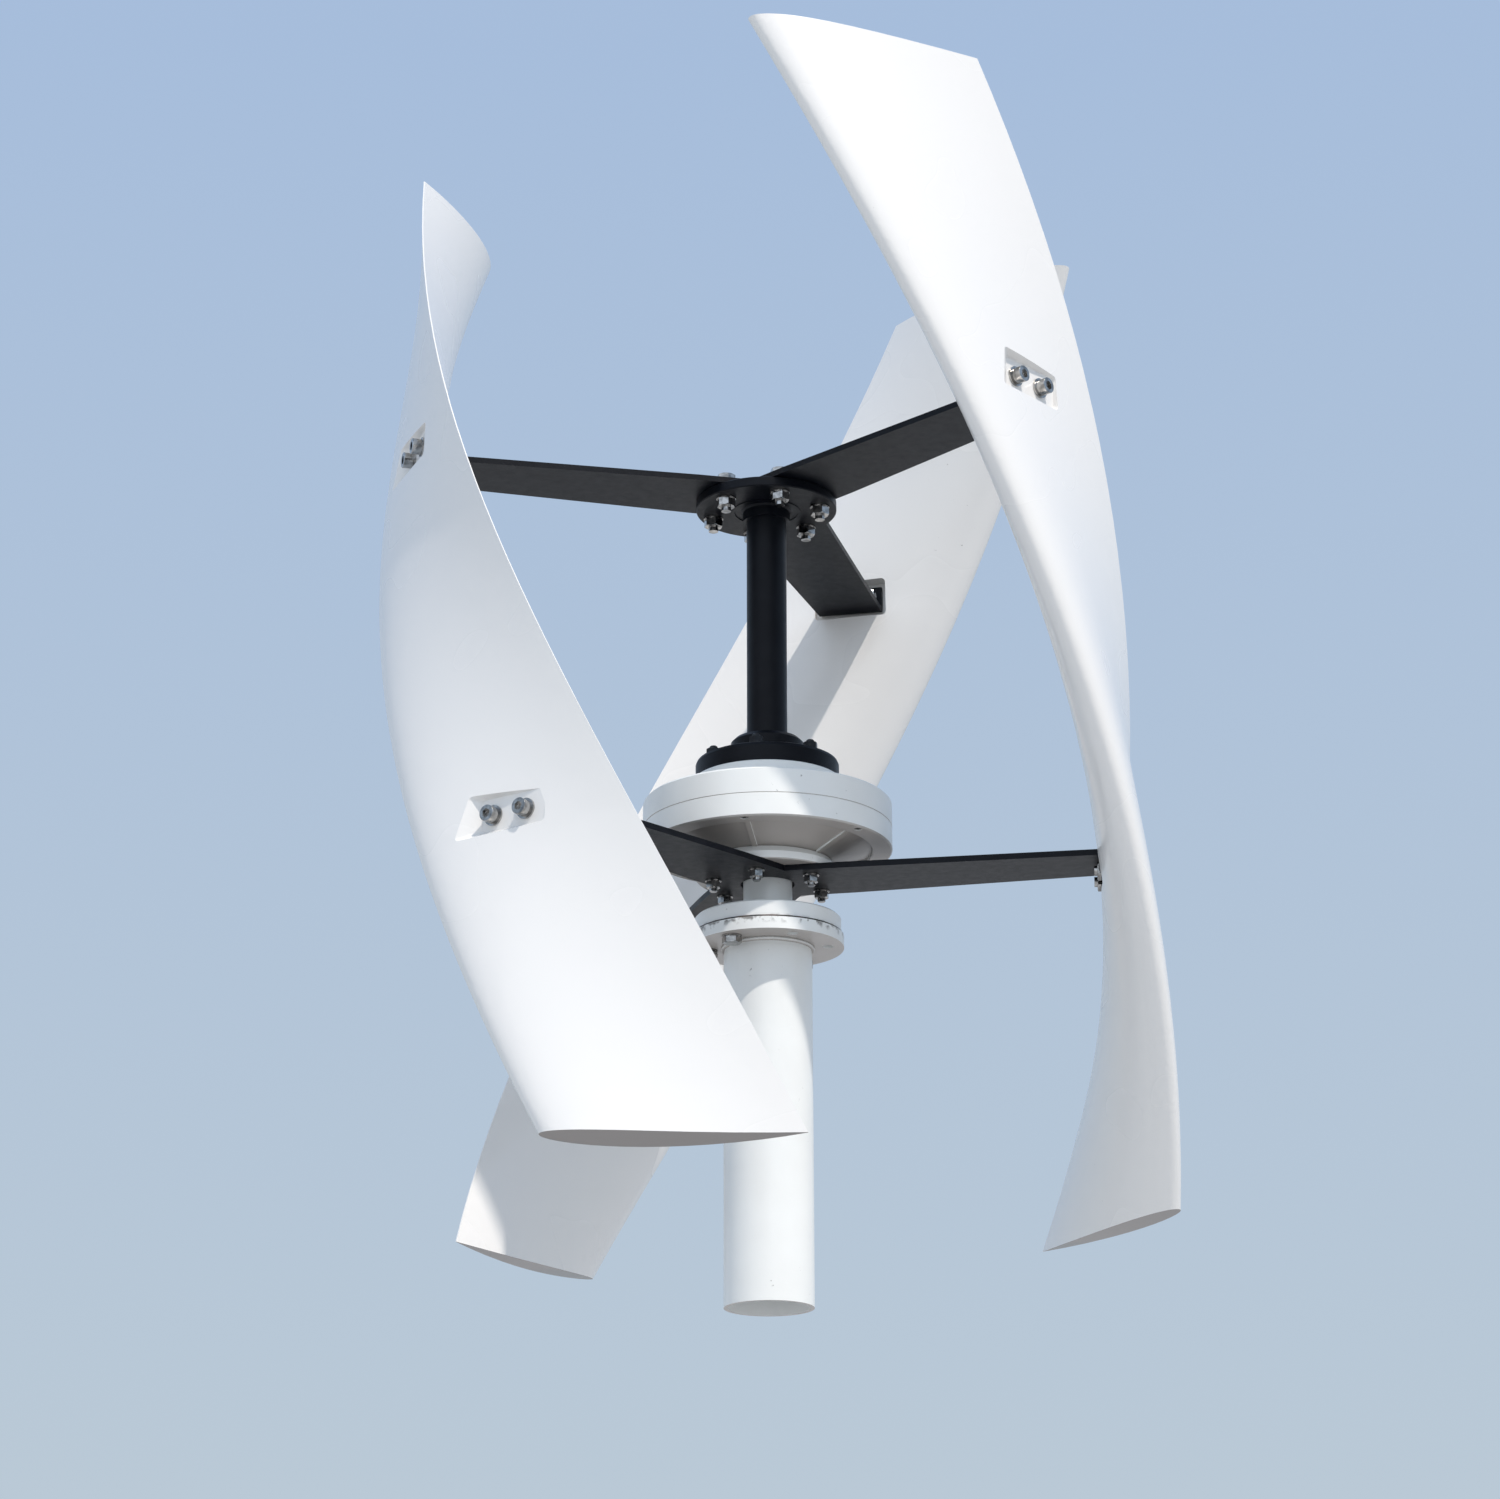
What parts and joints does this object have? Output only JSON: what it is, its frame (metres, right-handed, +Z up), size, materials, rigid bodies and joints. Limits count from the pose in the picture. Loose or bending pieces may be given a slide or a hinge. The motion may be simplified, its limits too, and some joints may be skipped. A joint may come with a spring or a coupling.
{
  "type": "small wind turbine",
  "caption": "Helical vertical-axis wind turbine: twisted blades on a black arm spider turn a disc generator round a fixed spindle on a flanged mast stub.",
  "frame": {"origin": "on the rotor axis at the open lower end of the mast stub", "axes": "+Z up along the rotor axis, and the arm pairs are set out from +X"},
  "size_m": [0.7929, 0.783, 1.1886],
  "materials": {
    "light_paint": "satin light grey paint",
    "black_coat": "fine matt black powder coat",
    "white_gelcoat": "glossy white gel coat over glass fibre",
    "stainless": "bright stainless",
    "bearing_steel": "ground steel",
    "cage_nylon": "natural nylon",
    "stator_resin": "cast epoxy",
    "copper_winding": "enamelled copper wire",
    "magnet_nickel": "nickel plate"
  },
  "bodies": {
    "mast": {"mast_tube": "light_paint", "mast_weld": "light_paint", "mast_flange": "light_paint", "spindle": "light_paint", "flange_bolts": "stainless", "flange_washers": "stainless", "spindle_nut": "bearing_steel", "stator_disc": "stator_resin", "stator_coils": "copper_winding", "stator_clamp": "bearing_steel", "stator_screws": "stainless", "lower_bearing_inner_ring": "bearing_steel", "upper_bearing_inner_ring": "bearing_steel"},
    "rotor": {"lower_cover": "light_paint", "upper_cover": "light_paint", "base_flange": "black_coat", "rotor_tube": "black_coat", "upper_hub": "black_coat", "upper_spider": "black_coat", "lower_spider": "black_coat", "blade_1": "white_gelcoat", "blade_2": "white_gelcoat", "blade_3": "white_gelcoat", "cover_screws": "stainless", "base_studs": "stainless", "base_nuts": "stainless", "base_washers": "stainless", "upper_hub_bolts": "stainless", "upper_hub_washers": "stainless", "upper_hub_nuts": "stainless", "lower_hub_studs": "stainless", "lower_hub_washers": "stainless", "lower_hub_nuts": "stainless", "blade_screws": "stainless", "blade_screw_washers": "stainless", "blade_nut_washers": "stainless", "blade_nuts": "stainless", "lower_bearing_outer_ring": "bearing_steel", "lower_bearing_shields": "bearing_steel", "upper_bearing_outer_ring": "bearing_steel", "upper_bearing_shields": "bearing_steel", "lower_magnet_plate": "bearing_steel", "upper_magnet_plate": "bearing_steel", "lower_magnets": "magnet_nickel", "upper_magnets": "magnet_nickel"},
    "lower_ball_set": {"lower_bearing_balls": "bearing_steel", "lower_bearing_cage": "cage_nylon"},
    "upper_ball_set": {"upper_bearing_balls": "bearing_steel", "upper_bearing_cage": "cage_nylon"}
  },
  "joints": [
    {"name": "rotor_spin", "type": "hinge", "parent": "mast", "child": "rotor", "pos_m": [0, 0, 0.5], "axis": [0, 0, 1], "continuous": true},
    {"name": "lower_ball_set_spin", "type": "hinge", "parent": "mast", "child": "lower_ball_set", "pos_m": [0, 0, 0.4405], "axis": [0, 0, 1], "continuous": true},
    {"name": "upper_ball_set_spin", "type": "hinge", "parent": "mast", "child": "upper_ball_set", "pos_m": [0, 0, 0.519], "axis": [0, 0, 1], "continuous": true}
  ],
  "couplings": [
    {"joint": "lower_ball_set_spin", "follows": "rotor_spin", "ratio": 0.5731},
    {"joint": "upper_ball_set_spin", "follows": "rotor_spin", "ratio": 0.5814}
  ]
}
